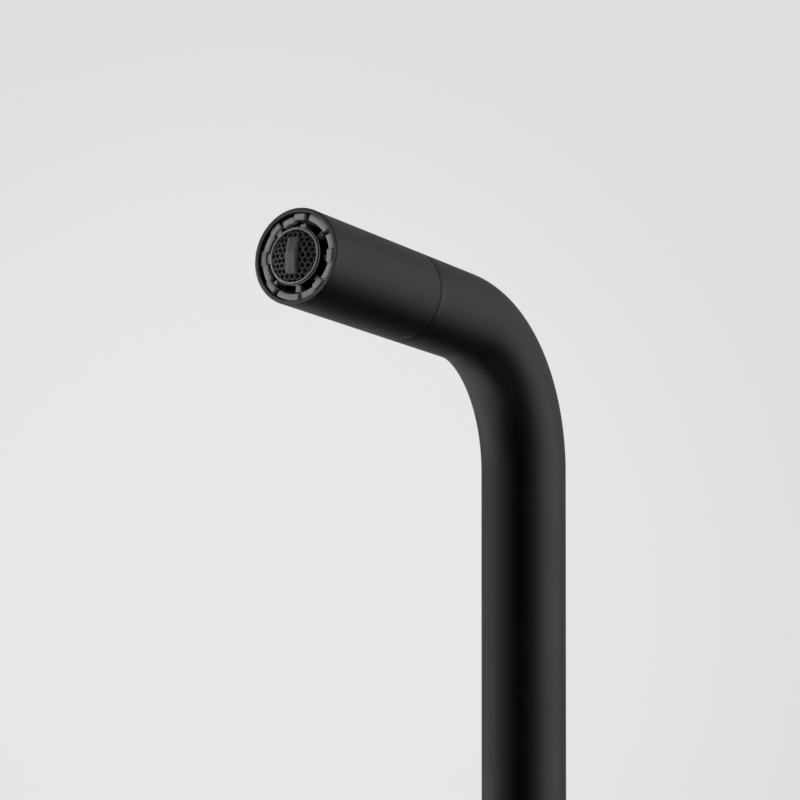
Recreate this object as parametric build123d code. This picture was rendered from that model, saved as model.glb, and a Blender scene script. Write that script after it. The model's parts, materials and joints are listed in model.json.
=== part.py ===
from build123d import *
import os
from math import cos, radians, sin, sqrt

# Pull down kitchen faucet. Millimetres, +Z up.
# Origin: centre of the tube in the deck plane. The arm points along -Y, the handle along +X.

# ---- driving dimensions ----
TUBE_R = 21.0            # outer radius of the body, the spout and the spray head
SPOUT_WALL = 1.5
BODY_WALL = 2.5
SEAM = 0.5               # visible gap between two tubes that meet
BODY_TOP = 90.0          # end of the fixed lower body
BEND_START = 262.0       # height at which the column starts to bend
BEND_R = 76.4            # bend radius of the tube's centre line
BEND_ANGLE = 82.08       # degrees, so the arm rises a little towards the outlet
ARM_LENGTH = 49.7        # from the end of the bend to the seam of the spray head
HEAD_LENGTH = 85.6
RIM_R = 19.05            # inner radius of the head's flat front rim

BARREL_Z = 54.0          # height of the handle's axis
BARREL_R = 18.0
BARREL_BORE_R = 13.5     # holds the ceramic cartridge
BARREL_END = 44.0
PIVOT_X = 31.0           # where the handle tilts
DOME_R = 23.0            # round cover over the cartridge, centred on the pivot
HUB_END = 66.0
STEM_END = 60.0
LEVER_R = 4.0
LEVER_LENGTH = 100.0
LEVER_X = 57.0           # the lever stands on the hub here
LEVER_FOOT_R = 2.5
HUB_SCREW_R = 1.5

SHANK_R = 16.0           # threaded shank, for a 35 mm hole
SHANK_BORE_R = 14.25
SHANK_TOP = 16.0
SHANK_BOTTOM = -75.0
THREAD_PITCH = 3.0
CLAMP_DEPTH = 16.5       # gasket, washer, screw gap and nut under the worktop
GASKET_THICKNESS = 1.2
BODY_FOOT = 6.0          # lower end of the body, on top of the base ring
DECK_THICKNESS = 30.0    # worktop that the clamp parts are drawn on
TAIL_PITCH_R = 10.2      # the three water tails stand on this circle
TAIL_R = 3.5
TAIL_THREAD_R = 4.0
TAIL_TOP = 39.0
TAIL_END = -178.0
CHANNEL_R = 1.7
HOSE_R = 5.5
HOSE_BOTTOM = -135.0
HOSE_END = -34.0         # upper end, measured along the arm from the seam
RUN = 0.05               # radial clearance of a running fit

SPOUT_BORE_R = TUBE_R - SPOUT_WALL
BODY_BORE_R = TUBE_R - BODY_WALL
MOUTH = -SEAM / 2        # end of the arm, measured outwards from the seam
HEAD_BACK = SEAM / 2
FACE = HEAD_LENGTH       # the head's front face, measured from the seam

BASE = (Align.CENTER, Align.CENTER, Align.MIN)


# ---- frames ----
def arm_point(distance):
    """Point on the arm's axis, a distance outwards from the end of the bend."""
    bend = radians(BEND_ANGLE)
    y = -BEND_R * (1 - cos(bend)) - distance * sin(bend)
    z = BEND_START + BEND_R * sin(bend) + distance * cos(bend)
    return (0, y, z)


ARM_AXIS = (0, -sin(radians(BEND_ANGLE)), cos(radians(BEND_ANGLE)))
ARM = Plane(origin=arm_point(ARM_LENGTH), x_dir=(1, 0, 0), z_dir=ARM_AXIS).location
SIDE = Plane(origin=(0, 0, BARREL_Z), x_dir=(0, 1, 0), z_dir=(1, 0, 0)).location
LEVER_PLACE = Plane(origin=(LEVER_X, 0, BARREL_Z), x_dir=(1, 0, 0), z_dir=(0, -1, 0)).location


# ---- helpers ----
def disc(radius, low, high):
    """Solid cylinder on the Z axis between two heights."""
    return Pos(0, 0, low) * Cylinder(radius, high - low, align=BASE)


def ring(outer, inner, low, high):
    """Hollow cylinder on the Z axis between two heights."""
    return disc(outer, low, high) - disc(inner, low - 1, high + 1)


def lathe(*points):
    """Solid of revolution about Z from a closed outline of (radius, height) points."""
    outline = Polyline([(r, 0, z) for r, z in points], close=True)
    return revolve(make_face(outline), Axis.Z)


def o_ring(radius, thickness, height):
    """Rubber ring with a round section."""
    section = Plane.XZ * Pos(radius, height) * Circle(thickness)
    return revolve(section, Axis.Z)


def polar(count, radius, start=0.0):
    """Places around a circle."""
    return [Rot(0, 0, start + 360 * i / count) * Pos(radius, 0, 0) for i in range(count)]


def ball(radius, height):
    return Pos(0, 0, height) * Sphere(radius)


def drill(start, end, radius):
    """Round hole between two points."""
    run = Vector(*end) - Vector(*start)
    place = Plane(origin=start, z_dir=run).location
    return place * Cylinder(radius, run.length, align=BASE)


def top_rim(shape):
    """Largest round edge at the upper end of a part."""
    rims = shape.edges().filter_by(GeomType.CIRCLE).group_by(Axis.Z)[-1]
    return rims.sort_by(SortBy.LENGTH)[-1]


def save(shape, node):
    export_step(shape, f"parts/{node}.step")


# ---- deck side ----
def deck_gasket():
    return ring(25, 17, 0, GASKET_THICKNESS)


def base_ring():
    body = ring(26, SHANK_R + 0.3, GASKET_THICKNESS, BODY_FOOT)
    return fillet(top_rim(body), 1.6)


def lower_body():
    body = disc(TUBE_R, BODY_FOOT, BODY_TOP) + SIDE * disc(BARREL_R, 0, BARREL_END)
    body -= disc(BODY_BORE_R, SHANK_TOP, BODY_TOP + 1)
    body -= disc(SHANK_R, BODY_FOOT - 1, SHANK_TOP + 1)
    body -= SIDE * disc(BARREL_BORE_R, 5, BARREL_END + 1)
    return fillet(top_rim(body), 0.4)


def shank():
    """Threaded tube through the deck, with its thread as a row of shallow grooves."""
    tube = ring(SHANK_R, SHANK_BORE_R, SHANK_BOTTOM, SHANK_TOP)
    low = SHANK_BOTTOM + 2
    high = -DECK_THICKNESS - CLAMP_DEPTH
    for i in range(int((high - low) / THREAD_PITCH)):
        z = low + i * THREAD_PITCH
        tube -= ring(SHANK_R + 1, SHANK_R - 0.5, z, z + 1.2)
    return tube


def clamp_gasket():
    z = -DECK_THICKNESS
    return ring(27, SHANK_R + 0.3, z - 2, z)


def clamp_washer():
    z = -DECK_THICKNESS - 2
    return ring(28, SHANK_R + 0.3, z - 2.5, z)


def mounting_nut():
    top = -DECK_THICKNESS - 6.5
    prism = Pos(0, 0, top - 9) * extrude(RegularPolygon(24.5, 6), 9)
    nut = (prism & disc(23.8, top - 9, top)) - disc(SHANK_R, top - 10, top + 1)
    for place in polar(2, 18.9):
        nut -= place * disc(1.9, top - 10, top + 1)
    return nut


def clamp_screws():
    """Two screws that run through the nut and press on the washer."""
    top = -DECK_THICKNESS - 4.5
    screw = disc(1.9, top - 16, top) + disc(2.9, top - 19, top - 15)
    screw -= Pos(0, 0, top - 19.5) * Box(4.4, 0.8, 2.4, align=BASE)
    return Compound([place * screw for place in polar(2, 18.9)])


# ---- water side ----
PORT_PITCH_R = 7.5
TAIL_ANGLES = {"hot_tail": 70, "cold_tail": -70, "mixed_tail": 0}


def tail_place(node):
    return Rot(0, 0, TAIL_ANGLES[node]) * Pos(TAIL_PITCH_R, 0, 0)


def valve_manifold():
    """Brass block around the hose: it feeds the cartridge and carries the three tails."""
    block = disc(BODY_BORE_R, 34, 74) - disc(7.0, 33, 75)
    block -= SIDE * disc(BARREL_BORE_R, 12, 40)
    low_port = BARREL_Z - PORT_PITCH_R / 2
    high_port = BARREL_Z + PORT_PITCH_R
    tops = {"hot_tail": low_port + 2.6, "cold_tail": low_port + 2.6, "mixed_tail": high_port}
    for node, top in tops.items():
        block -= tail_place(node) * disc(TAIL_R, 33, TAIL_TOP)
        block -= tail_place(node) * disc(CHANNEL_R, 38, top)
    for place in polar(3, PORT_PITCH_R, 90):
        block -= SIDE * place * disc(2.2, 8.0, 13)
    for side, node in ((1, "hot_tail"), (-1, "cold_tail")):
        corner = tail_place(node).position
        port = (9.6, side * PORT_PITCH_R * cos(radians(30)), low_port)
        block -= drill((corner.X, corner.Y, low_port), port, CHANNEL_R - 0.3)
    return block


def tail(node):
    """Copper tail with a male threaded end, from the manifold down through the shank."""
    pipe = disc(TAIL_R, TAIL_END, TAIL_TOP) + disc(TAIL_THREAD_R, TAIL_END, TAIL_END + 12)
    pipe -= disc(2.4, TAIL_END - 1, TAIL_TOP + 1)
    return tail_place(node) * pipe


def ported_plate(radius, low, high, hole):
    """Cartridge plate with its three water ports."""
    plate = disc(radius, low, high)
    for place in polar(3, PORT_PITCH_R, 90):
        plate -= place * disc(hole, low - 1, high + 1)
    return plate


def port_gasket():
    return SIDE * ported_plate(12.5, 12, 13, 2.4)


def cartridge_base():
    return SIDE * ported_plate(13.4, 13, 16, 2.6)


def fixed_disc():
    return SIDE * ported_plate(10.8, 16, 19, 2.6)


def moving_disc():
    """Ceramic disc that slides over the fixed one; it opens along -Y."""
    plate = disc(8.0, 19.05, 22) - Pos(1.5, 0, 0) * disc(3.6, 18, 20.8)
    return SIDE * (plate + ring(8.0, 4.6, 21, 22))


def disc_carrier():
    """Plastic plate on the moving disc, with the slot that the stem's tip pushes."""
    plate = disc(8.0, 22, 25) - Pos(0, 0, 21) * Box(4.4, 4.6, 6, align=BASE)
    return SIDE * plate


def cartridge_housing():
    shell = disc(13.4, 16, 38) - disc(10.9, 15, 36) - disc(8.6, 35, 39)
    return SIDE * shell


def stem_yoke():
    """Turns in the housing for temperature; the stem tilts in it about the pivot pin."""
    yoke = disc(10.8, 25.3, 35.6) - disc(7.6, 24, 27)
    yoke -= Pos(0, 0, 24) * Box(13, 8.4, 13, align=BASE)
    yoke -= Pos(0, 0, PIVOT_X) * Rot(90, 0, 0) * Cylinder(1.5, 24)
    return SIDE * yoke


def pivot_pin():
    pin = Pos(0, 0, PIVOT_X) * Rot(90, 0, 0) * Cylinder(1.5, 20.6)
    return SIDE * pin


def retaining_nut():
    nut = ring(BARREL_BORE_R, 8.8, 38, 42.5)
    for place in polar(4, BARREL_BORE_R):
        nut -= place * Box(4, 3, 100)
    return SIDE * nut


def barrel_cap():
    """Round cover in the barrel's end, concentric with the tilting handle."""
    edge = PIVOT_X + sqrt(DOME_R**2 - BARREL_R**2)
    hole = DOME_R * sin(radians(27.5))
    body = disc(BARREL_R, BARREL_END, edge + 9) & ball(DOME_R, PIVOT_X)
    body += ring(BARREL_BORE_R, 12.0, 42.5, BARREL_END)
    body -= ball(DOME_R - 2.2, PIVOT_X) & disc(13.0, BARREL_END, edge + 9)
    body -= disc(hole, BARREL_END - 2, edge + 12)
    return SIDE * body


# ---- handle ----
def stem():
    """Steel stem: its tip moves the discs, its far end holds the hub."""
    body = disc(3.5, 26, STEM_END) + disc(1.7, 22.6, 27)
    body -= Pos(0, 0, PIVOT_X) * Rot(90, 0, 0) * Cylinder(1.5 + RUN, 30)
    return SIDE * body


def handle_hub():
    rear = PIVOT_X + sqrt((DOME_R + 0.6) ** 2 - BARREL_R**2)
    hub = disc(BARREL_R, rear - 1, HUB_END) - ball(DOME_R + 0.6, PIVOT_X)
    hub -= disc(3.5, rear - 5, STEM_END)
    hub = SIDE * hub
    outer = hub.edges().filter_by(GeomType.CIRCLE).group_by(Axis.X)[-1]
    hub = fillet(outer, 0.8)
    hub -= LEVER_PLACE * disc(LEVER_FOOT_R, 9, BARREL_R + 5)
    return hub - LEVER_PLACE * disc(HUB_SCREW_R, 3.4, 10)


def lever():
    """Pin lever with a threaded foot in the hub and a rounded tip."""
    end = BARREL_R + LEVER_LENGTH
    pin = disc(LEVER_R, BARREL_R + 0.25, end)
    pin = fillet(pin.edges().sort_by(Axis.Z)[-1], 1.2)
    pin += disc(LEVER_FOOT_R, 9, BARREL_R + 0.25)
    return LEVER_PLACE * pin


def hub_screw():
    """Grub screw that holds the hub on its stem."""
    screw = disc(HUB_SCREW_R, 3.5, 8.8) - Pos(0, 0, 7) * extrude(RegularPolygon(0.85, 6), 3)
    return LEVER_PLACE * screw


# ---- swivel between the body and the spout ----
POST_R = 17.4
POST_TOP = 128.0
STOP_Z = 108.0
SWIVEL_LIMIT = 75.0


def swivel_post():
    """Brass sleeve pressed into the body, with the groove that limits the swing."""
    post = disc(BODY_BORE_R, 76, 89) + disc(POST_R, 89, POST_TOP) - disc(13.5, 75, POST_TOP + 1)
    half = SWIVEL_LIMIT + 9
    groove = revolve(Plane.XZ * Pos(16.6, STOP_Z) * Rectangle(3.0, 4.6), Axis.Z, 2 * half)
    return post - Rot(0, 0, 90 - half) * groove


def glide_ring(low):
    return ring(SPOUT_BORE_R - RUN, POST_R, low, low + 7)


def swivel_o_rings():
    """Two rings that give the spout its steady feel."""
    return Compound([o_ring(POST_R + 1.0, 0.95, z) for z in (102.2, 114.5)])


def slip_washer():
    return ring(TUBE_R - 0.5, POST_R + 0.2, BODY_TOP, BODY_TOP + SEAM - 0.05)


def stop_screw():
    screw = disc(2.0, 15.4, TUBE_R - 0.4)
    screw -= Pos(0, 0, TUBE_R - 2.6) * extrude(RegularPolygon(1.1, 6), 4)
    return Pos(0, 0, STOP_Z) * Rot(-90, 0, 0) * screw


# ---- spout ----
def spout_path(start, end):
    """Centre line from a height on the column to a distance from the seam on the arm."""
    foot = (0, 0, BEND_START)
    bend = radians(BEND_ANGLE)
    middle = (0, -BEND_R * (1 - cos(bend / 2)), BEND_START + BEND_R * sin(bend / 2))
    column = Line((0, 0, start), foot)
    arc = ThreePointArc(foot, middle, arm_point(0))
    return column + arc + Line(arm_point(0), arm_point(ARM_LENGTH + end))


def swept(radius, start, end):
    section = Plane.XY.offset(start) * Circle(radius)
    return sweep(section, path=spout_path(start, end))


def spout_tube():
    start = BODY_TOP + SEAM
    tube = swept(TUBE_R, start, MOUTH) - swept(SPOUT_BORE_R, start, MOUTH)
    return tube - Pos(0, 0, STOP_Z) * Rot(-90, 0, 0) * disc(2.0, 15, 25)


COLLAR_BORE_R = 15.5


def dock_collar():
    """Plastic socket in the arm's end that the spray head's neck docks in."""
    return ARM * lathe((COLLAR_BORE_R, -24), (SPOUT_BORE_R, -24), (SPOUT_BORE_R, MOUTH - 0.4),
                       (COLLAR_BORE_R + 1, MOUTH - 0.4), (COLLAR_BORE_R, MOUTH - 1.4))


def dock_magnet():
    return ARM * ring(SPOUT_BORE_R, 10.2, -28, -24)


def hose_guide():
    """Smooth eye that the hose slides through."""
    return ARM * lathe((8, -34), (9.5, -36), (SPOUT_BORE_R, -36),
                       (SPOUT_BORE_R, -31), (9.5, -31), (8, -32.5))


# ---- hose ----
def pullout_hose():
    """The part of the hose inside the faucet, from the spray head to the coupling."""
    return swept(HOSE_R, HOSE_BOTTOM, HOSE_END) - swept(HOSE_R - 2, HOSE_BOTTOM, HOSE_END)


def hose_nipple():
    """Sleeve crimped on the hose, with the nipple that turns in the head's neck."""
    sleeve = ring(6.8, HOSE_R, HOSE_END - 16, HOSE_END) + disc(6.8, HOSE_END, HOSE_END + 3)
    nipple = disc(4.6, HOSE_END + 3, -2) + disc(7.0, -20, -18)
    body = sleeve + nipple - disc(3.2, HOSE_END - 1, -1)
    return ARM * (body - ring(5.5, 4.0, -5.0, -3.4))


def nipple_o_ring():
    return ARM * ring(4.62, 4.0, -4.9, -3.5)


def hose_coupling():
    """Quick coupling at the lower end of the hose inside the faucet."""
    body = disc(6.4, HOSE_BOTTOM - 18, HOSE_BOTTOM + 8)
    body += disc(4.5, HOSE_BOTTOM - 26, HOSE_BOTTOM - 18)
    body -= disc(HOSE_R, HOSE_BOTTOM, HOSE_BOTTOM + 9)
    return body - disc(3.2, HOSE_BOTTOM - 27, HOSE_BOTTOM + 1)


# ---- spray head, along the arm ----
NECK_R = 15.42


def hose_nut():
    """Nut in the head's neck; it holds the collar of the nipple, which turns in it."""
    return ARM * lathe((4.9, -30), (7.4, -30), (8.9, -25), (8.9, -6.5),
                       (7.4, -6.5), (7.4, -20.4), (4.9, -20.4))


def head_neck():
    """Spigot that docks in the spout, with the stub that carries the head's shell."""
    body = disc(NECK_R, -22, 0.1) + disc(12.0, 0, 14)
    body -= disc(8.9, -23, -6)
    body -= disc(4.65, -7, 0.5)
    body -= disc(6.5, 0.5, 15)
    body -= ring(NECK_R + 1, 14.2, -13, -10.8)
    return ARM * body


def neck_o_ring():
    return ARM * ring(15.47, 14.2, -12.9, -10.9)


def strike_ring():
    """Steel ring that the magnet holds."""
    return ARM * ring(NECK_R - 0.3, 9.2, -23.4, -22)


def head_shell():
    body = disc(TUBE_R, HEAD_BACK, FACE) - disc(RIM_R, 4, FACE + 1) - disc(12.0, 0, 5)
    body -= disc(NECK_R + 0.02, 0, 0.3)
    return ARM * fillet(top_rim(body), 0.3)


def neck_nut():
    nut = disc(17.5, 4, 9) - disc(12.0, 3, 10)
    for place in polar(4, 17.5, 45):
        nut -= place * Box(4, 3, 100)
    return ARM * nut


def check_valve_housing():
    body = disc(6.5, 0.6, 13) - disc(3.4, 0, 4.1) - disc(5.3, 4, 14)
    return ARM * body


def check_valve_poppet():
    """Opens outwards against its spring."""
    poppet = disc(4.6, 4.3, 5.8) + disc(1.4, 5.8, 9.0) + disc(2.9, 1.6, 4.4)
    return ARM * poppet


def check_valve_spring():
    turns = 4
    pitch = 1.4
    path = Helix(pitch, pitch * turns, 2.6)
    section = Plane(origin=path @ 0, z_dir=path % 0) * Circle(0.35)
    coil = sweep(section, path=path)
    return ARM * Pos(0, 0, 6.3) * coil


def spring_seat():
    """Slotted disc that closes the valve and carries the spring."""
    seat = disc(5.25, 12.4, 13.0) - disc(1.7, 12, 14)
    for place in polar(4, 3.6):
        seat -= place * disc(0.9, 12, 14)
    return ARM * seat


def filter_screen():
    screen = disc(6.5, 13.0, 13.6)
    for radius, count in ((1.6, 6), (3.2, 12), (4.8, 18)):
        for place in polar(count, radius):
            screen -= place * disc(0.5, 12.5, 14)
    return ARM * screen


def waterway_o_ring():
    return ARM * ring(12.0, 7.5, 14.0, 15.2)


def waterway():
    """Inner tube of the head, flared to the socket of the aerator."""
    return ARM * lathe((7.5, 15.2), (12.0, 15.2), (12.0, 58), (RIM_R, 64), (RIM_R, FACE - 14),
                       (16.6, FACE - 14), (16.6, 66), (7.5, 58))


# ---- aerator ----
RING_FACE = FACE - 1.0       # front of the ring's blocks
RING_BASE = RING_FACE - 2.2  # floor between the blocks
SPOKE_FACE = FACE - 3.8
LUG_FACE = FACE - 1.8
CUP_R = 12.6             # bead around the cup, in front of the spokes
CUP_BODY_R = 11.55
CUP_SEAT = FACE - 0.3
CUP_LIP_R = 12.0
CUP_LIP_WALL = 0.6
CUP_LIP = FACE + 1.4
SLEEVE_R = CUP_BODY_R + RUN
DOME_TOP = CUP_LIP + 1.7
CELL_PITCH = 2.55
CELL_WALL = 0.35
BAR_WIDTH = 5.6
BAR_LENGTH = 15.9
BAR_TOP = FACE + 4.5
BAR_ARCH_R = 20.0

# Blocks of the ring, from the +X side around: (kind, first angle, last angle).
# "out" blocks reach the ring's outer edge, "in" blocks its inner edge.
BLOCKS = (
    ("in", -10, 10),
    ("out", 10, 31.5),
    ("out", 38, 74.5),
    ("out", 82.5, 100),
    ("in", 100, 118.5),
    ("out", 126, 144.5),
    ("in", 144.5, 169.5),
    ("out", 169.5, 190.5),
    ("in", 190.5, 215.5),
    ("out", 215.5, 234),
    ("out", 241.5, 277.5),
    ("out", 285.5, 305.5),
    ("in", 305.5, 322),
    ("out", 328.5, 350),
)
BLOCK_RADII = {"out": (16.0, 18.8), "in": (15.0, 17.8)}
LUGS = ((135, 2.7), (180, 4.4), (225, 1.4))   # low steps inside the ring: (angle, width)


def sector(outer, inner, first, last, low, high):
    """Part of a ring between two angles."""
    middle = Pos((outer + inner) / 2, (low + high) / 2)
    profile = Plane.XZ * middle * Rectangle(outer - inner, high - low)
    return Rot(0, 0, first) * revolve(profile, Axis.Z, last - first)


def aerator_ring():
    """Castellated ring with eight spokes that hold the sleeve of the cup."""
    body = ring(18.9, 14.75, RING_BASE - 1.2, RING_BASE)
    for kind, first, last in BLOCKS:
        outer, inner = BLOCK_RADII[kind]
        body += sector(outer, inner, first, last, RING_BASE - 0.2, RING_FACE)
    spoke = Pos(13.65, 0, FACE - 6) * Box(3.1, 2.7, SPOKE_FACE - FACE + 6, align=BASE)
    for i in range(8):
        body += Rot(0, 0, 45 * i) * spoke
    for angle, width in LUGS:
        lug = Pos(15.0, 0, RING_BASE - 1.2) * Box(2.2, width, LUG_FACE - RING_BASE + 1.2, align=BASE)
        body += Rot(0, 0, angle) * lug
    sleeve = ring(12.3, SLEEVE_R, FACE - 8, SPOKE_FACE - 0.3)
    return ARM * (body + sleeve)


def aerator_housing():
    """Dark ring behind the castellated one; the water passes between it and the sleeve."""
    return ARM * ring(18.85, 15.4, FACE - 12, RING_BASE - 1.2)


def aerator_gasket():
    return ARM * ring(18.5, 16.7, FACE - 14, FACE - 12)


def aerator_cup():
    """Turning cup with a bead and a raised lip; the screen rests on its shoulder."""
    body = disc(CUP_BODY_R, FACE - 12.3, CUP_SEAT) + disc(CUP_R, CUP_SEAT, FACE + 0.6)
    body += disc(CUP_LIP_R, FACE, CUP_LIP)
    body -= disc(CUP_LIP_R - CUP_LIP_WALL, CUP_SEAT, CUP_LIP + 1)
    body -= disc(10.0, FACE - 13, FACE)
    return ARM * body


def dome_radius():
    """Radius of the ball that the honeycomb is cut from."""
    rise = DOME_TOP - (CUP_LIP - 0.4)
    half = CUP_LIP_R - CUP_LIP_WALL
    return (half**2 + rise**2) / (2 * rise)


def honeycomb():
    """Domed screen of six-sided cells with the grip bar across it."""
    edge = CUP_LIP_R - CUP_LIP_WALL
    cell = RegularPolygon((CELL_PITCH - CELL_WALL) / 2, 6, major_radius=False)
    row_step = CELL_PITCH * sqrt(3) / 2
    cells = []
    for row in range(-5, 6):
        shift = CELL_PITCH / 2 if row % 2 else 0
        for column in range(-5, 6):
            x = column * CELL_PITCH + shift
            y = row * row_step
            if x * x + y * y < (edge - 1.7) ** 2 and abs(x) > BAR_WIDTH / 2 + 0.75:
                cells.append(Pos(x, y) * cell)
    plate = extrude(Pos(0, 0, CUP_SEAT) * (Circle(edge) - cells), 6)
    radius = dome_radius()
    plate &= ball(radius, DOME_TOP - radius)
    bar = Pos(0, 0, CUP_SEAT) * Box(BAR_WIDTH, BAR_LENGTH, 6.0, align=BASE)
    bar &= Pos(0, 0, BAR_TOP - BAR_ARCH_R) * Rot(0, 90, 0) * Cylinder(BAR_ARCH_R, 10)
    return ARM * (plate + bar)


def selector_disc():
    """Plate behind the cup that opens the honeycomb or the spray windows."""
    plate = disc(12.4, FACE - 14.3, FACE - 12.3)
    for place in polar(4, 7.2, 45):
        plate -= place * disc(2.4, FACE - 15, FACE - 11)
    return ARM * plate


# ---- build ----
NODES = {
    "deck_gasket": deck_gasket,
    "base_ring": base_ring,
    "lower_body": lower_body,
    "shank": shank,
    "clamp_gasket": clamp_gasket,
    "clamp_washer": clamp_washer,
    "mounting_nut": mounting_nut,
    "clamp_screws": clamp_screws,
    "valve_manifold": valve_manifold,
    "port_gasket": port_gasket,
    "cartridge_base": cartridge_base,
    "fixed_disc": fixed_disc,
    "moving_disc": moving_disc,
    "disc_carrier": disc_carrier,
    "cartridge_housing": cartridge_housing,
    "stem_yoke": stem_yoke,
    "pivot_pin": pivot_pin,
    "retaining_nut": retaining_nut,
    "barrel_cap": barrel_cap,
    "stem": stem,
    "handle_hub": handle_hub,
    "lever": lever,
    "hub_screw": hub_screw,
    "swivel_post": swivel_post,
    "swivel_o_rings": swivel_o_rings,
    "slip_washer": slip_washer,
    "stop_screw": stop_screw,
    "spout_tube": spout_tube,
    "dock_collar": dock_collar,
    "dock_magnet": dock_magnet,
    "hose_guide": hose_guide,
    "pullout_hose": pullout_hose,
    "hose_nipple": hose_nipple,
    "nipple_o_ring": nipple_o_ring,
    "hose_coupling": hose_coupling,
    "hose_nut": hose_nut,
    "head_neck": head_neck,
    "neck_o_ring": neck_o_ring,
    "strike_ring": strike_ring,
    "head_shell": head_shell,
    "neck_nut": neck_nut,
    "check_valve_housing": check_valve_housing,
    "check_valve_poppet": check_valve_poppet,
    "check_valve_spring": check_valve_spring,
    "spring_seat": spring_seat,
    "filter_screen": filter_screen,
    "waterway_o_ring": waterway_o_ring,
    "waterway": waterway,
    "aerator_ring": aerator_ring,
    "aerator_housing": aerator_housing,
    "aerator_gasket": aerator_gasket,
    "aerator_cup": aerator_cup,
    "honeycomb": honeycomb,
    "selector_disc": selector_disc,
}

os.makedirs("parts", exist_ok=True)
for node, make in NODES.items():
    save(make(), node)
for node in TAIL_ANGLES:
    save(tail(node), node)
save(glide_ring(92), "lower_glide_ring")
save(glide_ring(119), "upper_glide_ring")
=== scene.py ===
import json
import math

import bmesh
import bpy
from mathutils import Matrix, Vector


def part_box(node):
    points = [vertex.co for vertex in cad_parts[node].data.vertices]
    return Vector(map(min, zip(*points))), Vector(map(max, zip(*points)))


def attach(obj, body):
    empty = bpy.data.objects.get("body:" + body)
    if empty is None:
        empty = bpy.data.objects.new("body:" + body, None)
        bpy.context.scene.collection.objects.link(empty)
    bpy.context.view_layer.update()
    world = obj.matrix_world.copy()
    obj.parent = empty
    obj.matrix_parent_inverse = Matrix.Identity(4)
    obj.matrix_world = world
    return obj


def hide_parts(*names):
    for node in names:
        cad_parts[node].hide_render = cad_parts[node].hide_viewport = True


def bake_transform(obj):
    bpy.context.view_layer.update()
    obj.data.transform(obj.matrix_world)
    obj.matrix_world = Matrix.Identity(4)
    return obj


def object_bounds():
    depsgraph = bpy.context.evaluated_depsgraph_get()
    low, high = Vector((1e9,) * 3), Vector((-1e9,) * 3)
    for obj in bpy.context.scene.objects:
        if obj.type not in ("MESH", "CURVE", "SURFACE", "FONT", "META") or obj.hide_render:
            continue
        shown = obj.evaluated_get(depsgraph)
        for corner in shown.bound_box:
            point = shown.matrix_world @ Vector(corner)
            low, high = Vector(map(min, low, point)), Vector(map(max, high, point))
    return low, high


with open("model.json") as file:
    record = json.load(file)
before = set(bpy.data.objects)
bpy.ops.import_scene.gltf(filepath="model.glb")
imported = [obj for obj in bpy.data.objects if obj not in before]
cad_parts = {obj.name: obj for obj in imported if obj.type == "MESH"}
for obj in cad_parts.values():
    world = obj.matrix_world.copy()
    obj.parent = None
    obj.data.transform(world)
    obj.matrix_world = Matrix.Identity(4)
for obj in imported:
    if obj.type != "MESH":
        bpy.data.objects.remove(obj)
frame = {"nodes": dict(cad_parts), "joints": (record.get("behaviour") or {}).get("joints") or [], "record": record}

cad_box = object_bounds()
MM = 0.001

# ---- sizes that the frame gives ----
joints = {j["name"]: j for j in frame["joints"]}
ARM_AXIS = Vector(joints["pull_out"]["axis"]).normalized()
SEAM_POINT = Vector(joints["head_twist"]["pos_m"])
FACE = (Vector(joints["aerator_turn"]["pos_m"]) - SEAM_POINT).length
TUBE_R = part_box("spout_tube")[1].x
HOSE_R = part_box("pullout_hose")[1].x
HOSE_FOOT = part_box("pullout_hose")[0].z
SPOUT_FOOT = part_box("spout_tube")[0].z
FLOOR_Z = cad_box[0][2]

# ---- sizes of the tube and the head, in metres ----
BEND_START = 262 * MM
BEND_R = 76.4 * MM
SEAM = 0.5 * MM             # gap between the arm and the head
WALL = 1.5 * MM
BACK_R = 12.0 * MM          # hole in the head's back wall
BACK = 4 * MM               # how far the back wall reaches from the seam
TUBE_SEGMENTS = 160

# ---- sizes of the outlet; heights run along the arm from the seam ----
RIM_R = 19.05 * MM
FLOOR_R = (14.75 * MM, 18.85 * MM)
FLOOR_BACK = FACE - 12 * MM
BLOCK_RADII = {"out": (16.0 * MM, 18.8 * MM), "in": (15.0 * MM, 17.8 * MM)}
RING_FACE = FACE - 1.0 * MM
RING_FLOOR = RING_FACE - 2.2 * MM
RING_ROOT = RING_FLOOR - 0.4 * MM
SILL_RADII = (15.2 * MM, 18.6 * MM)
SILL_FACE = RING_FACE - 1.1 * MM
LUG_RADII = (13.95 * MM, 16.1 * MM)
LUG_FACE = FACE - 1.8 * MM
SPOKES = 8
SPOKE_WIDTH = 2.7 * MM
SPOKE_R = 15.2 * MM
SPOKE_FACE = FACE - 3.8 * MM
SPOKE_BACK = FACE - 8 * MM
CUP_R = 12.6 * MM
CUP_SEAT_R = 12.1 * MM
CUP_BODY_R = 11.55 * MM
CUP_SEAT = FACE - 0.3 * MM
CUP_BEAD = FACE + 0.6 * MM
CUP_FOOT = FACE - 1 * MM
CUP_BACK = FACE - 12.3 * MM
SLEEVE_R = CUP_BODY_R + 0.05 * MM
SLEEVE_OUT_R = 12.3 * MM
LIP_R = 12.0 * MM
LIP_WALL = 0.6 * MM
LIP = FACE + 1.4 * MM
DOME_TOP = LIP + 1.7 * MM

bend_angle = math.acos(ARM_AXIS.z)
bend_end = Vector((0, -BEND_R * (1 - math.cos(bend_angle)), BEND_START + BEND_R * math.sin(bend_angle)))
arm_length = (SEAM_POINT - bend_end).length
arm_up = ARM_AXIS.cross(Vector((1, 0, 0)))
ARM = Matrix((
    (1, arm_up.x, ARM_AXIS.x, SEAM_POINT.x),
    (0, arm_up.y, ARM_AXIS.y, SEAM_POINT.y),
    (0, arm_up.z, ARM_AXIS.z, SEAM_POINT.z),
    (0, 0, 0, 1),
))


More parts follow.
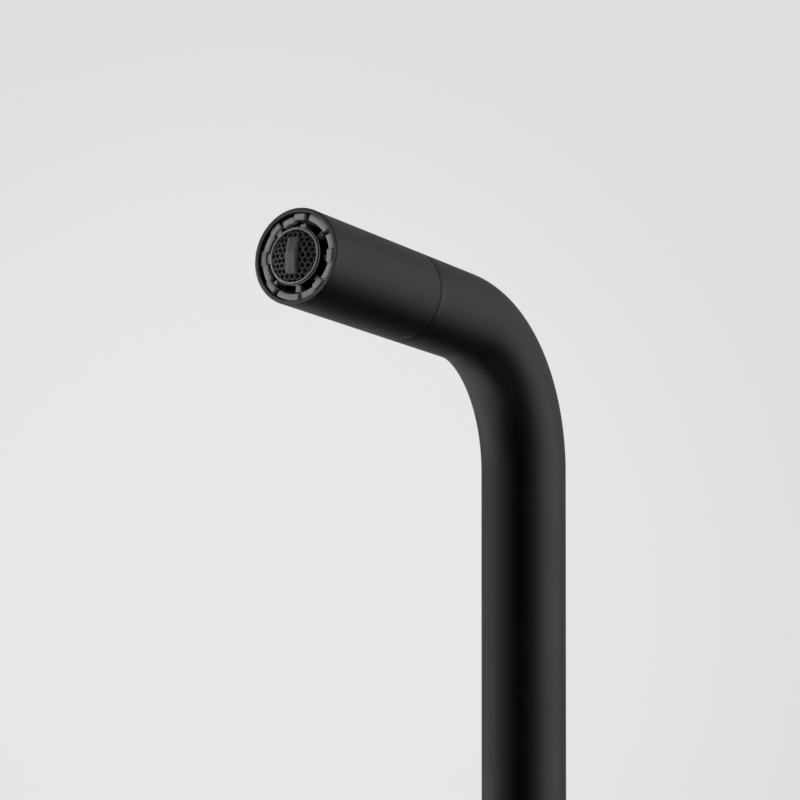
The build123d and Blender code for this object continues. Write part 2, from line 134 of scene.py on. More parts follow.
# ---- materials ----
def new_node(tree, kind, **values):
    made = tree.nodes.new(kind)
    for key, value in values.items():
        setattr(made, key, value)
    return made


class Paint:
    """A principled material and short ways to add nodes to it."""

    def __init__(self, name, color, roughness, metallic=0.0, specular=0.5):
        self.material = bpy.data.materials.new(name)
        self.material.use_nodes = True
        self.tree = self.material.node_tree
        self.shader = self.tree.nodes["Principled BSDF"]
        self.shader.inputs["Base Color"].default_value = (*color, 1)
        self.shader.inputs["Roughness"].default_value = roughness
        self.shader.inputs["Metallic"].default_value = metallic
        self.shader.inputs["Specular IOR Level"].default_value = specular

    def node(self, kind, **values):
        return new_node(self.tree, kind, **values)

    def link(self, source, target):
        self.tree.links.new(source, target)

    def place(self):
        return self.node("ShaderNodeTexCoord").outputs["Object"]

    def noise(self, scale, detail, where=None):
        made = self.node("ShaderNodeTexNoise")
        made.inputs["Scale"].default_value = scale
        made.inputs["Detail"].default_value = detail
        made.inputs["Roughness"].default_value = 0.55
        self.link(where or self.place(), made.inputs["Vector"])
        return made.outputs["Fac"]

    def stretch(self, scale):
        made = self.node("ShaderNodeMapping")
        made.inputs["Scale"].default_value = scale
        self.link(self.place(), made.inputs["Vector"])
        return made.outputs["Vector"]

    def remap(self, value, low, high):
        """A noise value, which lies mostly between 0.3 and 0.7, spread from low to high."""
        made = self.node("ShaderNodeMapRange")
        self.link(value, made.inputs["Value"])
        made.inputs["From Min"].default_value = 0.3
        made.inputs["From Max"].default_value = 0.7
        made.inputs["To Min"].default_value = low
        made.inputs["To Max"].default_value = high
        return made.outputs["Result"]

    def vary_roughness(self, value, low, high):
        self.link(self.remap(value, low, high), self.shader.inputs["Roughness"])

    def vary_color(self, value, dark, light):
        made = self.node("ShaderNodeMix", data_type="RGBA")
        self.link(self.remap(value, 0, 1), made.inputs["Factor"])
        made.inputs["A"].default_value = (*dark, 1)
        made.inputs["B"].default_value = (*light, 1)
        self.link(made.outputs["Result"], self.shader.inputs["Base Color"])

    def bump(self, height, strength, distance):
        made = self.node("ShaderNodeBump")
        made.inputs["Strength"].default_value = strength
        made.inputs["Distance"].default_value = distance
        self.link(height, made.inputs["Height"])
        self.link(made.outputs["Normal"], self.shader.inputs["Normal"])


def grey(value):
    return (value, value, value * 1.02)


def black_paint():
    """Fine powder coat: deep black, soft sheen, a grain just big enough to see close up."""
    paint = Paint("black_paint", grey(0.0035), 0.40, specular=0.62)
    paint.vary_roughness(paint.noise(38, 3), 0.38, 0.43)
    paint.vary_color(paint.noise(900, 2), grey(0.0025), grey(0.0045))
    paint.bump(paint.noise(2600, 4), 0.10, 0.06 * MM)
    return paint.material


def plastic(name, dark, light, roughness, specular=0.5):
    paint = Paint(name, light, roughness, specular=specular)
    paint.vary_color(paint.noise(260, 3), dark, light)
    paint.vary_roughness(paint.noise(120, 3), roughness - 0.05, roughness + 0.07)
    paint.bump(paint.noise(1500, 3), 0.12, 0.08 * MM)
    return paint.material


def metal(name, dark, light, roughness, scratches=(60, 60, 3000)):
    """Turned or drawn metal with marks along one direction."""
    paint = Paint(name, light, roughness, metallic=1.0)
    marks = paint.noise(1.0, 4, where=paint.stretch(scratches))
    paint.vary_color(paint.noise(90, 4), dark, light)
    paint.vary_roughness(marks, roughness - 0.07, roughness + 0.1)
    paint.bump(marks, 0.10, 0.05 * MM)
    return paint.material


def rubber():
    paint = Paint("rubber", grey(0.012), 0.75, specular=0.3)
    paint.vary_color(paint.noise(300, 3), grey(0.009), grey(0.018))
    paint.bump(paint.noise(1800, 3), 0.2, 0.1 * MM)
    return paint.material


def braid():
    """Woven nylon hose: two crossing sets of strands wound around the hose's axis."""
    bands = 12
    rise = 11 * MM
    paint = Paint("braid", grey(0.02), 0.5)
    turn = paint.node("ShaderNodeAttribute", attribute_name="around")
    split = paint.node("ShaderNodeSeparateXYZ")
    paint.link(paint.place(), split.inputs["Vector"])

    def maths(operation, a, b=None):
        made = paint.node("ShaderNodeMath", operation=operation)
        for i, value in enumerate((a, b)):
            if isinstance(value, (int, float)):
                made.inputs[i].default_value = value
            elif value is not None:
                paint.link(value, made.inputs[i])
        return made.outputs[0]

    square = maths("ADD", maths("MULTIPLY", split.outputs["X"], split.outputs["X"]),
                   maths("MULTIPLY", split.outputs["Y"], split.outputs["Y"]))
    reach = maths("SQRT", square)
    flat = math.hypot(ARM_AXIS.x, ARM_AXIS.y)
    along = maths("ADD", maths("MULTIPLY", reach, flat), maths("MULTIPLY", split.outputs["Z"], ARM_AXIS.z))
    climb = maths("MULTIPLY", along, 2 * math.pi * 4 / rise)
    around = maths("MULTIPLY", turn.outputs["Fac"], 2 * math.pi * bands)
    right = maths("SINE", maths("ADD", climb, around))
    left = maths("SINE", maths("SUBTRACT", climb, around))
    weave = maths("MAXIMUM", right, left)
    height = maths("ADD", maths("MULTIPLY", weave, 0.3), 0.5)
    paint.vary_color(height, grey(0.006), grey(0.055))
    paint.bump(height, 0.6, 0.5 * MM)
    return paint.material


materials = {
    "black_paint": black_paint(),
    "rubber": rubber(),
    "brass": metal("brass", (0.42, 0.28, 0.10), (0.60, 0.42, 0.17), 0.32),
    "steel": metal("steel", (0.42, 0.42, 0.43), (0.58, 0.58, 0.59), 0.30),
    "copper": metal("copper", (0.50, 0.22, 0.13), (0.68, 0.33, 0.20), 0.30, (2000, 2000, 60)),
    "ceramic_white": plastic("ceramic_white", grey(0.72), grey(0.80), 0.2),
    "white_plastic": plastic("white_plastic", grey(0.60), grey(0.70), 0.45),
    "black_plastic": plastic("black_plastic", grey(0.004), grey(0.007), 0.6, specular=0.2),
    "magnet": metal("magnet", grey(0.35), grey(0.48), 0.22),
    "braid": braid(),
    "grey_plastic": plastic("grey_plastic", (0.54, 0.56, 0.585), (0.62, 0.64, 0.665), 0.42),
    "cup_plastic": plastic("cup_plastic", (0.165, 0.172, 0.180), (0.215, 0.223, 0.233), 0.42),
}


# ---- mesh tools ----
def piece(name, verts, faces, slot, body, smooth_angle=35, nodes=()):
    """A mesh piece on a body, in a material slot, standing for some CAD nodes."""
    mesh = bpy.data.meshes.new(name)
    mesh.from_pydata([tuple(v) for v in verts], [], faces)
    mesh.validate()
    made = bpy.data.objects.new(name, mesh)
    bpy.context.scene.collection.objects.link(made)
    work = bmesh.new()
    work.from_mesh(mesh)
    bmesh.ops.remove_doubles(work, verts=work.verts, dist=1e-7)
    bmesh.ops.recalc_face_normals(work, faces=work.faces)
    work.to_mesh(mesh)
    work.free()
    mesh.polygons.foreach_set("use_smooth", [True] * len(mesh.polygons))
    mesh.set_sharp_from_angle(angle=math.radians(smooth_angle))
    mesh.materials.append(materials[slot])
    if body:
        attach(made, body)
    if nodes:
        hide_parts(*nodes)
    return made


def rounded(points, radius, steps=4):
    """Closed outline with its corners rounded; a point may carry its own radius as a third number."""
    outline = []
    count = len(points)
    for i, point in enumerate(points):
        here = Vector(point[:2])
        own = point[2] if len(point) > 2 else radius
        back = Vector(points[i - 1][:2]) - here
        ahead = Vector(points[(i + 1) % count][:2]) - here
        own = min(own, 0.49 * back.length, 0.49 * ahead.length)
        first = here + back.normalized() * own
        last = here + ahead.normalized() * own
        for k in range(steps + 1):
            t = k / steps
            outline.append(first * (1 - t) ** 2 + here * 2 * t * (1 - t) + last * t**2)
    return outline


def lathe_mesh(outline, segments=TUBE_SEGMENTS):
    """Vertices and faces of a closed (radius, height) outline turned about the arm's axis."""
    verts = []
    faces = []
    count = len(outline)
    for i in range(segments):
        a = 2 * math.pi * i / segments
        for r, z in outline:
            verts.append(ARM @ Vector((r * math.cos(a), r * math.sin(a), z)))
    for i in range(segments):
        j = (i + 1) % segments
        for k in range(count):
            n = (k + 1) % count
            faces.append((i * count + k, j * count + k, j * count + n, i * count + n))
    return verts, faces


def centre_line(start, end, step):
    """Points and directions of the tube's centre line, from a column height to a distance past the seam."""
    line = []
    rows = max(2, round((BEND_START - start) / step))
    for i in range(rows):
        line.append((Vector((0, 0, start + (BEND_START - start) * i / rows)), Vector((0, 0, 1))))
    turns = 90
    for i in range(turns):
        a = bend_angle * i / turns
        point = Vector((0, -BEND_R * (1 - math.cos(a)), BEND_START + BEND_R * math.sin(a)))
        line.append((point, Vector((0, -math.sin(a), math.cos(a)))))
    rows = max(2, round((arm_length + end) / step))
    for i in range(rows + 1):
        line.append((bend_end + ARM_AXIS * ((arm_length + end) * i / rows), ARM_AXIS))
    return line


def ring_at(point, direction, radius, segments):
    side = Vector((1, 0, 0))
    up = direction.cross(side)
    circle = []
    for i in range(segments):
        a = 2 * math.pi * i / segments
        circle.append(point + (side * math.cos(a) + up * math.sin(a)) * radius)
    return circle


def tube_mesh(rings, closed=False):
    """Faces between rings of equal length, in order; closed joins the last to the first."""
    verts = [v for circle in rings for v in circle]
    size = len(rings[0])
    faces = []
    last = len(rings) if closed else len(rings) - 1
    for i in range(last):
        here = i * size
        there = ((i + 1) % len(rings)) * size
        for k in range(size):
            n = (k + 1) % size
            faces.append((here + k, here + n, there + n, there + k))
    return verts, faces


def end_faces(size, total):
    """The first and the last ring, of some size, of a number of vertices, as two closing faces."""
    return [tuple(reversed(range(size))), tuple(range(total - size, total))]


def joined(meshes):
    """Several vertex and face lists as one."""
    verts = []
    faces = []
    for more, polygons in meshes:
        shift = len(verts)
        verts += more
        faces += [tuple(i + shift for i in p) for p in polygons]
    return verts, faces


# ---- spout and head ----
def spout():
    """The constant tube from the swivel seam to the mouth, with softly broken edges."""
    line = centre_line(SPOUT_FOOT, -SEAM / 2, 6 * MM)
    inner = TUBE_R - WALL
    edge = 0.3 * MM
    lip = [
        (inner, 0),
        (inner + edge / 2, 0),
        (TUBE_R - edge, 0),
        (TUBE_R - edge * 0.3, edge * 0.3),
        (TUBE_R, edge),
    ]
    rings = []
    foot, up = line[0]
    for r, z in lip:
        rings.append(ring_at(foot + up * z, up, r, TUBE_SEGMENTS))
    for point, direction in line[1:-1]:
        rings.append(ring_at(point, direction, TUBE_R, TUBE_SEGMENTS))
    mouth, out = line[-1]
    for r, z in reversed(lip):
        rings.append(ring_at(mouth - out * z, out, r, TUBE_SEGMENTS))
    for point, direction in reversed(line[1:-1]):
        rings.append(ring_at(point, direction, inner, TUBE_SEGMENTS))
    verts, faces = tube_mesh(rings, closed=True)
    return piece("spout_shell", verts, faces, "black_paint", "spout", nodes=["spout_tube"])


def head():
    """Spray head's shell, in rows short enough to shade well."""
    outline = rounded([
        (BACK_R, SEAM / 2),
        (TUBE_R, SEAM / 2, 0.3 * MM),
        (TUBE_R, FACE, 0.3 * MM),
        (RIM_R, FACE, 0.2 * MM),
        (RIM_R, BACK),
        (BACK_R, BACK),
    ], 0.05 * MM, 5)
    dense = []
    for a, b in zip(outline, outline[1:] + outline[:1]):
        parts = max(1, round((b - a).length / (6 * MM)))
        dense += [a.lerp(b, i / parts) for i in range(parts)]
    verts, faces = lathe_mesh(dense)
    return piece("head_tube", verts, faces, "black_paint", "spray_head", nodes=["head_shell"])


# ---- outlet ----
# Blocks of the ring: row, first and last angle in degrees. Angles run counterclockwise from the
# outlet's right side, as seen from the front.
BLOCKS = (
    ("in", -10, 10),
    ("out", 10, 31.5),
    ("out", 38, 74.5),
    ("out", 82.5, 100),
    ("in", 100, 118.5),
    ("out", 126, 144.5),
    ("in", 144.5, 169.5),
    ("out", 169.5, 190.5),
    ("in", 190.5, 215.5),
    ("out", 215.5, 234),
    ("out", 241.5, 277.5),
    ("out", 285.5, 305.5),
    ("in", 305.5, 322),
    ("out", 328.5, 350),
)
# Lower steps in some of the gaps between the blocks: first and last angle.
SILLS = ((118.5, 123), (280, 283), (322, 328.5))
# Small raised lugs at the outer ends of three spokes: angle and width.
LUGS = ((135, 2.7 * MM), (180, 4.4 * MM), (225, 1.4 * MM))


def wedge(first, last, inner, outer, low, high, bevel):
    """Closed block of a ring between two angles, with its front edges broken."""
    outline = [
        (inner, low),
        (outer, low),
        (outer, high - bevel),
        (outer - bevel * 0.3, high - bevel * 0.3),
        (outer - bevel, high),
        (inner + bevel, high),
        (inner + bevel * 0.3, high - bevel * 0.3),
        (inner, high - bevel),
    ]
    span = last - first
    trim = math.degrees(bevel / ((inner + outer) / 2))
    cuts = [(first, 0.0), (first + trim * 0.3, 0.7), (first + trim, 1.0)]
    steps = max(2, round(span / 3))
    for i in range(1, steps):
        cuts.append((first + trim + (span - 2 * trim) * i / steps, 1.0))
    cuts += [(last - trim, 1.0), (last - trim * 0.3, 0.7), (last, 0.0)]
    verts = []
    faces = []
    size = len(outline)
    for angle, lift in cuts:
        a = math.radians(angle)
        for r, z in outline:
            if z > low:
                z = min(z, high - bevel * (1 - lift))
            verts.append(ARM @ Vector((r * math.cos(a), r * math.sin(a), z)))
    for i in range(len(cuts) - 1):
        for k in range(size):
            n = (k + 1) % size
            faces.append((i * size + k, (i + 1) * size + k, (i + 1) * size + n, i * size + n))
    faces += end_faces(size, len(verts))
    return verts, faces


def castellated_ring():
    """Grey ring of blocks in two rows, with its sills, spokes and lugs."""
    bevel = 0.28 * MM
    parts = []
    for row, first, last in BLOCKS:
        parts.append(wedge(first, last, *BLOCK_RADII[row], RING_ROOT, RING_FACE, bevel))
    for first, last in SILLS:
        parts.append(wedge(first, last, *SILL_RADII, RING_ROOT, SILL_FACE, bevel))
    spoke_half = math.degrees(SPOKE_WIDTH / 2 / (13.5 * MM))
    for i in range(SPOKES):
        angle = 360 / SPOKES * i
        parts.append(wedge(angle - spoke_half, angle + spoke_half, SLEEVE_R + 0.1 * MM, SPOKE_R,
                           SPOKE_BACK, SPOKE_FACE, bevel))
    for angle, width in LUGS:
        lug_half = math.degrees(width / 2 / (15.0 * MM))
        parts.append(wedge(angle - lug_half, angle + lug_half, *LUG_RADII,
                           RING_FLOOR - 1 * MM, LUG_FACE, bevel))
    verts, faces = joined(parts)
    return piece("outlet_ring", verts, faces, "grey_plastic", "spray_head", nodes=["aerator_ring"])


def outlet_shade_floor():
    """Painted shade: black floor between the blocks, with the sleeve that the cup turns in, standing for the grey
    ring's base where it lies in shadow.
    """
    inner, outer = FLOOR_R
    floor = rounded([
        (inner, FLOOR_BACK),
        (outer, FLOOR_BACK),
        (outer, RING_FLOOR, 0.3 * MM),
        (inner, RING_FLOOR, 0.3 * MM),
    ], 0.1 * MM)
    sleeve_face = SPOKE_FACE - 0.3 * MM
    sleeve = rounded([
        (SLEEVE_R, SPOKE_BACK),
        (SLEEVE_OUT_R, SPOKE_BACK),
        (SLEEVE_OUT_R, sleeve_face, 0.2 * MM),
        (SLEEVE_R, sleeve_face, 0.2 * MM),
    ], 0.1 * MM)
    # The black here is painted shade for the shadowed base of the grey ring.
    verts, faces = joined([lathe_mesh(floor), lathe_mesh(sleeve)])
    return piece("outlet_shade_floor", verts, faces, "black_plastic", "spray_head", nodes=["aerator_housing"])


def cup():
    """Turning cup: a bead in front of the sleeve and a raised lip around the comb."""
    outline = rounded([
        (CUP_BODY_R, CUP_FOOT),
        (CUP_BODY_R, CUP_SEAT),
        (CUP_SEAT_R, CUP_SEAT),
        (CUP_R, FACE + 0.1 * MM, 0.1 * MM),
        (CUP_R, CUP_BEAD, 0.15 * MM),
        (LIP_R + 0.05 * MM, CUP_BEAD, 0.05 * MM),
        (LIP_R, LIP, 0.15 * MM),
        (LIP_R - LIP_WALL, LIP, 0.15 * MM),
        (LIP_R - LIP_WALL, CUP_FOOT),
        (CUP_BODY_R - 1 * MM, CUP_FOOT),
    ], 0.08 * MM)
    verts, faces = lathe_mesh(outline)
    return piece("outlet_cup", verts, faces, "grey_plastic", "aerator_insert", nodes=["aerator_cup"])


def cup_shade_skirt():
    """Part of the cup that stands in the sleeve, made black as painted shade for the shadow inside the sleeve."""
    inner = CUP_BODY_R - 1 * MM
    top = CUP_FOOT - 0.02 * MM
    outline = rounded([
        (inner, CUP_BACK),
        (CUP_BODY_R, CUP_BACK),
        (CUP_BODY_R, top),
        (inner, top),
    ], 0.08 * MM)
    # Painted shade: this lower part of the cup is black only because it lies in shadow.
    verts, faces = lathe_mesh(outline)
    return piece("cup_shade_skirt", verts, faces, "black_plastic", "aerator_insert")


def groove_shade_ring():
    """Black ring in the corner between the bead and the lip: painted shade for the shadowed groove there."""
    inner, outer = LIP_R - 0.1 * MM, LIP_R + 0.33 * MM
    low, high = CUP_BEAD - 0.3 * MM, CUP_BEAD + 0.4 * MM
    outline = rounded([
        (inner, low),
        (outer, low),
        (outer, CUP_BEAD + 0.08 * MM, 0.1 * MM),
        (LIP_R + 0.08 * MM, high, 0.05 * MM),
        (inner, high),
    ], 0.05 * MM)
    # Painted shade: a black ring put where the groove between bead and lip lies in shadow.
    verts, faces = lathe_mesh(outline)
    return piece("groove_shade_ring", verts, faces, "rubber", "aerator_insert")


CELL = 2.55 * MM            # across the flats
CELL_R = CELL / math.sqrt(3)
CELL_WALL = 0.34 * MM
CELL_DEPTH = 2.2 * MM
COMB_R = LIP_R - LIP_WALL
RISE = DOME_TOP - (LIP - 0.5 * MM)
DOME_R = (COMB_R**2 + RISE**2) / (2 * RISE)
BAR_HALF = 2.8 * MM         # half of its width
BAR_LENGTH = 15.9 * MM
BAR_TOP = FACE + 4.48 * MM
BAR_FOOT = FACE - 1.0 * MM
BAR_ARCH = 20 * MM          # radius of its top along its length
BAR_END = 0.10              # share of each half's length that is rounded off


def dome_height(x, y):
    """Front of the honeycomb at a point of the outlet."""
    return DOME_TOP - DOME_R + math.sqrt(DOME_R**2 - min(x * x + y * y, COMB_R**2))


def held(point, limit):
    """A point pulled back inside a circle."""
    return point * (limit / point.length) if point.length > limit else point


def hexagon(centre, radius, limit):
    """Corners of a six-sided cell with a corner at the top, kept inside a circle."""
    corners = []
    for i in range(6):
        a = math.radians(30 + 60 * i)
        corners.append(held(centre + Vector((math.cos(a), math.sin(a))) * radius, limit))
    return corners


def area(corners):
    total = 0.0
    for a, b in zip(corners, corners[1:] + corners[:1]):
        total += a.x * b.y - b.x * a.y
    return total / 2


def comb_cell(centre):
    """One cell: its share of the front, the slanted lip and the wall down to the back."""
    outer = hexagon(centre, CELL_R, COMB_R)
    crest = hexagon(centre, CELL_R - CELL_WALL * 0.5, COMB_R - 0.1 * MM)
    inner = hexagon(centre, CELL_R - CELL_WALL * 0.62, COMB_R - 0.2 * MM)
    rows = [
        [(c, dome_height(*c)) for c in outer],
        [(c, dome_height(*c) - 0.02 * MM) for c in crest],
        [(c, dome_height(*c) - 0.16 * MM) for c in inner],
        [(c, dome_height(*c) - CELL_DEPTH) for c in inner],
        [(c, dome_height(*c) - CELL_DEPTH) for c in outer],
    ]
    verts = [ARM @ Vector((c.x, c.y, z)) for row in rows for c, z in row]
    faces = []
    for i in range(len(rows) - 1):
        for k in range(6):
            n = (k + 1) % 6
            faces.append((i * 6 + k, i * 6 + n, i * 6 + 6 + n, i * 6 + 6 + k))
    return verts, faces


def comb():
    """Honeycomb of all cells that have at least a quarter of a square cell inside the lip."""
    parts = []
    step = CELL * math.sqrt(3) / 2
    for row in range(-6, 7):
        for column in range(-6, 7):
            shift = CELL / 2 if row % 2 else 0
            centre = Vector((column * CELL + shift, row * step))
            if area(hexagon(centre, CELL_R, COMB_R)) >= 0.25 * CELL**2:
                parts.append(comb_cell(centre))
    verts, faces = joined(parts)
    return piece("outlet_comb", verts, faces, "cup_plastic", "aerator_insert", 30, nodes=["honeycomb"])


def grip_bar():
    """Raised bar across the comb: arched along its length, flat on top, with a broad left chamfer."""
    steps = 28
    # Share of the half width, and share of the height above the straight foot.
    section = [(-1.0, 0.0), (-1.0, 0.72), (-0.40, 1.0), (0.88, 1.0), (1.0, 0.93), (1.0, 0.0)]
    size = len(section)
    verts = []
    faces = []
    for i in range(steps + 1):
        t = 2 * i / steps - 1
        y = t * BAR_LENGTH / 2
        end = math.sqrt(max(0.0, 1 - max(0.0, (abs(t) - 1 + BAR_END) / BAR_END) ** 2))
        top = BAR_TOP - y * y / (2 * BAR_ARCH) - (1 - end) * 0.8 * MM
        width = BAR_HALF * (0.80 + 0.20 * end)
        for u, v in section:
            rise = (top - BAR_FOOT) * (0.35 + 0.65 * v) if v else 0
            verts.append(ARM @ Vector((u * width, y, BAR_FOOT + rise)))
    for i in range(steps):
        for k in range(size):
            n = (k + 1) % size
            faces.append((i * size + k, i * size + n, (i + 1) * size + n, (i + 1) * size + k))
    faces += end_faces(size, len(verts))
    return piece("grip_bar", verts, faces, "cup_plastic", "aerator_insert", 15)


# ---- check valve ----
def valve_spring():
    """Coil between the poppet and the slotted seat."""
    turns = 4
    steps = 24
    segments = 10
    low, high = 6.3 * MM, 11.9 * MM
    coil_r, wire_r = 2.6 * MM, 0.35 * MM
    rings = []
    rise = (high - low) / (turns * 2 * math.pi)
    for i in range(turns * steps + 1):
        a = 2 * math.pi * i / steps
        out = Vector((math.cos(a), math.sin(a), 0))
        point = out * coil_r + Vector((0, 0, low + rise * a))
        run = Vector((-math.sin(a) * coil_r, math.cos(a) * coil_r, rise)).normalized()
        side = run.cross(out)
        circle = []
        for k in range(segments):
            b = 2 * math.pi * k / segments
            circle.append(ARM @ (point + (out * math.cos(b) + side * math.sin(b)) * wire_r))
        rings.append(circle)
    verts, faces = tube_mesh(rings)
    faces += end_faces(segments, len(verts))
    made = piece("valve_spring", verts, faces, "steel", None, 60, nodes=["check_valve_spring"])
    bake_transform(made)
    return made


# ---- hose ----
def hose():
    """Braided hose; the short stretch behind the head has many rings."""
    rings = 220
    segments = 48
    # Distances back from the seam: the drawn stretch's start and end, and the hose's end.
    start, end, finish = 62 * MM, 50 * MM, 34 * MM
    line = centre_line(HOSE_FOOT, -start, 8 * MM)
    for i in range(1, rings + 1):
        line.append((SEAM_POINT - ARM_AXIS * (start + (end - start) * i / rings), ARM_AXIS))
    line.append((SEAM_POINT - ARM_AXIS * finish, ARM_AXIS))
    verts, faces = tube_mesh([ring_at(p, d, HOSE_R, segments) for p, d in line])
    faces += end_faces(segments, len(verts))
    made = piece("braided_hose", verts, faces, "braid", None, 60)
    mark = made.data.attributes.new("around", "FLOAT", "POINT")
    for vertex in made.data.vertices:
        side, up = hose_side(vertex.co)
        mark.data[vertex.index].value = math.atan2(up, side) / (2 * math.pi)
    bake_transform(made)
    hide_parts("pullout_hose")
    return made


def hose_side(point):
    """Where a point of the hose lies around its centre line, as (side, up)."""
    if point.z <= BEND_START and point.y > -HOSE_R * 1.5:
        return point.x, -point.y
    local = ARM.inverted() @ point
    if local.z > -arm_length:
        return local.x, local.y
    centre = Vector((0, -BEND_R, BEND_START))
    return point.x, (point - centre).length - BEND_R


# ---- threads ----
def threaded_shank():
    """Shank with a real helical thread below the deck and a bored inside."""
    low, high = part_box("shank")
    outer = high.x
    bore = 14.25 * MM
    pitch = 1.5 * MM
    depth = 0.8 * MM
    segments = 72
    thread_top = -0.5 * MM      # just under the deck
    rows = round((high.z - low.z) / (pitch / 6))
    rings = []
    for i in range(rows + 1):
        z = low.z + (high.z - low.z) * i / rows
        circle = []
        for k in range(segments):
            a = 2 * math.pi * k / segments
            phase = (z / pitch - k / segments) % 1
            fade_in = min(1, (z - low.z) / (2 * MM))
            fade_out = min(1, max(0, (thread_top - z) / (1.5 * MM)))
            cut = depth * max(0.0, abs(2 * phase - 1) - 0.12) / 0.88 * fade_in * fade_out
            chamfer = max(0.0, depth - (z - low.z))
            r = outer - max(cut, chamfer)
            circle.append(Vector((r * math.cos(a), r * math.sin(a), z)))
        rings.append(circle)
    rings.insert(0, ring_at(Vector((0, 0, low.z)), Vector((0, 0, 1)), bore, segments))
    rings.append(ring_at(Vector((0, 0, high.z)), Vector((0, 0, 1)), bore, segments))
    verts, faces = tube_mesh(rings, closed=True)
    return piece("threaded_shank", verts, faces, "brass", "base", 45, nodes=["shank"])


# ---- CAD nodes ----
def dress_nodes():
    """Gives every CAD node its slot's material."""
    slots = {s["node"]: s["material_slot"] for s in frame["record"]["subparts"]}
    for name, node in frame["nodes"].items():
        node.data.materials.clear()
        node.data.materials.append(materials[slots[name]])


# ---- stage ----
def floor():
    """Round pale floor that fades out into the surroundings; it glows a little, as if lit from afar."""
    mesh = bpy.data.meshes.new("floor")
    work = bmesh.new()
    bmesh.ops.create_circle(work, cap_ends=True, segments=96, radius=1.3)
    work.to_mesh(mesh)
    work.free()
    made = bpy.data.objects.new("floor", mesh)
    made.location = (0, 0, FLOOR_Z - 0.2 * MM)
    bpy.context.scene.collection.objects.link(made)
    paint = Paint("floor", (0.80, 0.80, 0.81), 0.8, specular=0.2)
    paint.shader.inputs["Emission Color"].default_value = (*grey(1.0), 1)
    paint.shader.inputs["Emission Strength"].default_value = 0.55
    clear = paint.node("ShaderNodeBsdfTransparent")
    mix = paint.node("ShaderNodeMixShader")
    length = paint.node("ShaderNodeVectorMath", operation="LENGTH")
    paint.link(paint.place(), length.inputs[0])
    fade = paint.node("ShaderNodeMapRange", interpolation_type="SMOOTHSTEP")
    fade.inputs["From Min"].default_value = 0.45
    fade.inputs["From Max"].default_value = 1.25
    paint.link(length.outputs["Value"], fade.inputs["Value"])
    paint.link(fade.outputs["Result"], mix.inputs["Fac"])
    paint.link(paint.shader.outputs["BSDF"], mix.inputs[1])
    paint.link(clear.outputs["BSDF"], mix.inputs[2])
    output = paint.tree.nodes["Material Output"]
    paint.link(mix.outputs["Shader"], output.inputs["Surface"])
    mesh.materials.append(paint.material)
    made.visible_glossy = False
    made.visible_diffuse = False


# ---- camera and lights ----
CAMERA = Vector((523.8, -957.4, 280.9)) * MM
CAMERA_TURN = math.radians(31.92)
CAMERA_PITCH = math.radians(0.92)
LENS = 98.27
VIEW = Vector((-math.sin(CAMERA_TURN), math.cos(CAMERA_TURN), math.tan(CAMERA_PITCH)))
# The background is brightest a little to the left of the middle of the picture, and below it.
BRIGHTEST = Matrix.Rotation(math.radians(4), 3, "Z") @ VIEW.normalized() + Vector((0, 0, -0.09))
SPOT_POWER = 66.0
SPOT_TURN = 50              # degrees off the arm's axis, to the left
SPOT_CONE = 3.8             # degrees
SPOT_DISTANCE = 0.9
AMBIENT = 0.003
# Soft lights of the studio around the object: degrees from the camera's side towards its right,
# degrees upwards, degrees to where the light has faded out, strength.
STUDIO = {
    "left wall": (-75, 0, 45, 0.44),
    "left corner": (-110, 0, 45, 0.53),
    "floor in the left corner": (-120, -45, 50, 0.83),
    "floor": (0, -90, 50, 0.13),
    "backdrop": (180, 0, 45, 0.41),
    "above the right corner": (120, 45, 50, 0.39),
    "right corner": (110, 0, 45, 0.49),
    "right wall": (75, 0, 45, 1.08),
    "right front": (45, 0, 45, 0.26),
}


def towards(azimuth, elevation):
    """Direction at an angle from the camera's side, to its right and upwards."""
    level = Vector((-VIEW.x, -VIEW.y, 0)).normalized()
    turned = Matrix.Rotation(math.radians(azimuth), 3, "Z") @ level
    return turned * math.cos(math.radians(elevation)) + Vector((0, 0, math.sin(math.radians(elevation))))


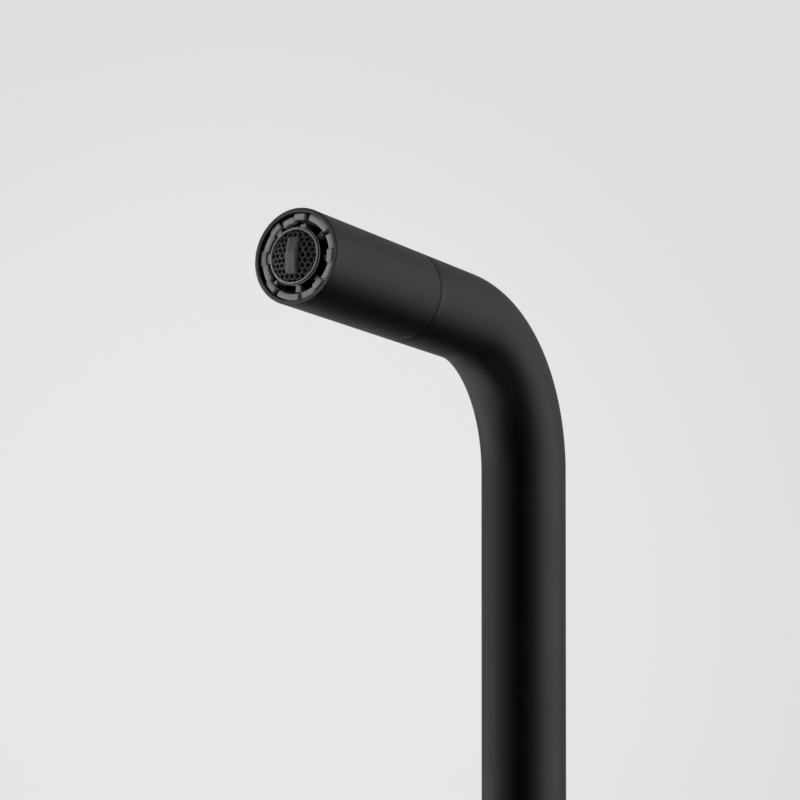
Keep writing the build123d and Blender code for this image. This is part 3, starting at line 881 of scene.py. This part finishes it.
def surroundings():
    """Even pale background for the camera; the object feels a few soft lights around it."""
    world = bpy.data.worlds.new("studio")
    bpy.context.scene.world = world
    world.use_nodes = True
    tree = world.node_tree
    tree.nodes.clear()

    def node(kind, **values):
        return new_node(tree, kind, **values)

    place = node("ShaderNodeTexCoord").outputs["Generated"]

    def patch(direction, start, low, high):
        """Brightness that rises smoothly from low to high towards a direction."""
        dot = node("ShaderNodeVectorMath", operation="DOT_PRODUCT")
        tree.links.new(place, dot.inputs[0])
        dot.inputs[1].default_value = direction
        ramp = node("ShaderNodeMapRange", interpolation_type="SMOOTHSTEP")
        tree.links.new(dot.outputs["Value"], ramp.inputs["Value"])
        for key, number in zip(("From Min", "From Max", "To Min", "To Max"), (start, 1.0, low, high)):
            ramp.inputs[key].default_value = number
        return ramp.outputs["Result"]

    total = patch(towards(0, 90), -1.0, AMBIENT, AMBIENT)
    for azimuth, elevation, reach, strength in STUDIO.values():
        add = node("ShaderNodeMath", operation="ADD")
        tree.links.new(total, add.inputs[0])
        light = patch(towards(azimuth, elevation), math.cos(math.radians(reach)), 0.0, strength)
        tree.links.new(light, add.inputs[1])
        total = add.outputs[0]
    felt = node("ShaderNodeBackground")
    tree.links.new(total, felt.inputs["Strength"])
    seen = node("ShaderNodeBackground")
    seen.inputs["Color"].default_value = (0.765, 0.765, 0.785, 1)
    tree.links.new(patch(BRIGHTEST.normalized(), 0.965, 0.965, 1.05), seen.inputs["Strength"])

    mix = node("ShaderNodeMixShader")
    output = node("ShaderNodeOutputWorld")
    tree.links.new(node("ShaderNodeLightPath").outputs["Is Camera Ray"], mix.inputs["Fac"])
    tree.links.new(felt.outputs["Background"], mix.inputs[1])
    tree.links.new(seen.outputs["Background"], mix.inputs[2])
    tree.links.new(mix.outputs["Shader"], output.inputs["Surface"])


def outlet_spot():
    """Narrow light that shines along the arm into the outlet."""
    light = bpy.data.lights.new("outlet_spot", "SPOT")
    light.energy = SPOT_POWER
    light.spot_size = math.radians(SPOT_CONE)
    light.spot_blend = 0.3
    light.shadow_soft_size = 90 * MM
    made = bpy.data.objects.new("outlet_spot", light)
    outlet = SEAM_POINT + ARM_AXIS * FACE
    made.location = outlet + Matrix.Rotation(math.radians(-SPOT_TURN), 3, "Z") @ ARM_AXIS * SPOT_DISTANCE
    made.rotation_euler = (outlet - made.location).to_track_quat("-Z", "Y").to_euler()
    made.visible_camera = False
    bpy.context.scene.collection.objects.link(made)


def camera():
    data = bpy.data.cameras.new("camera")
    data.sensor_width = 36
    data.lens = LENS
    made = bpy.data.objects.new("camera", data)
    made.location = CAMERA
    made.rotation_euler = VIEW.to_track_quat("-Z", "Y").to_euler()
    bpy.context.scene.collection.objects.link(made)
    bpy.context.scene.camera = made


camera()
surroundings()
outlet_spot()
floor()
dress_nodes()
spout()
head()
castellated_ring()
outlet_shade_floor()
cup()
cup_shade_skirt()
groove_shade_ring()
comb()
grip_bar()
valve_spring()
hose()
threaded_shank()

bpy.context.scene.view_settings.view_transform = "Standard"
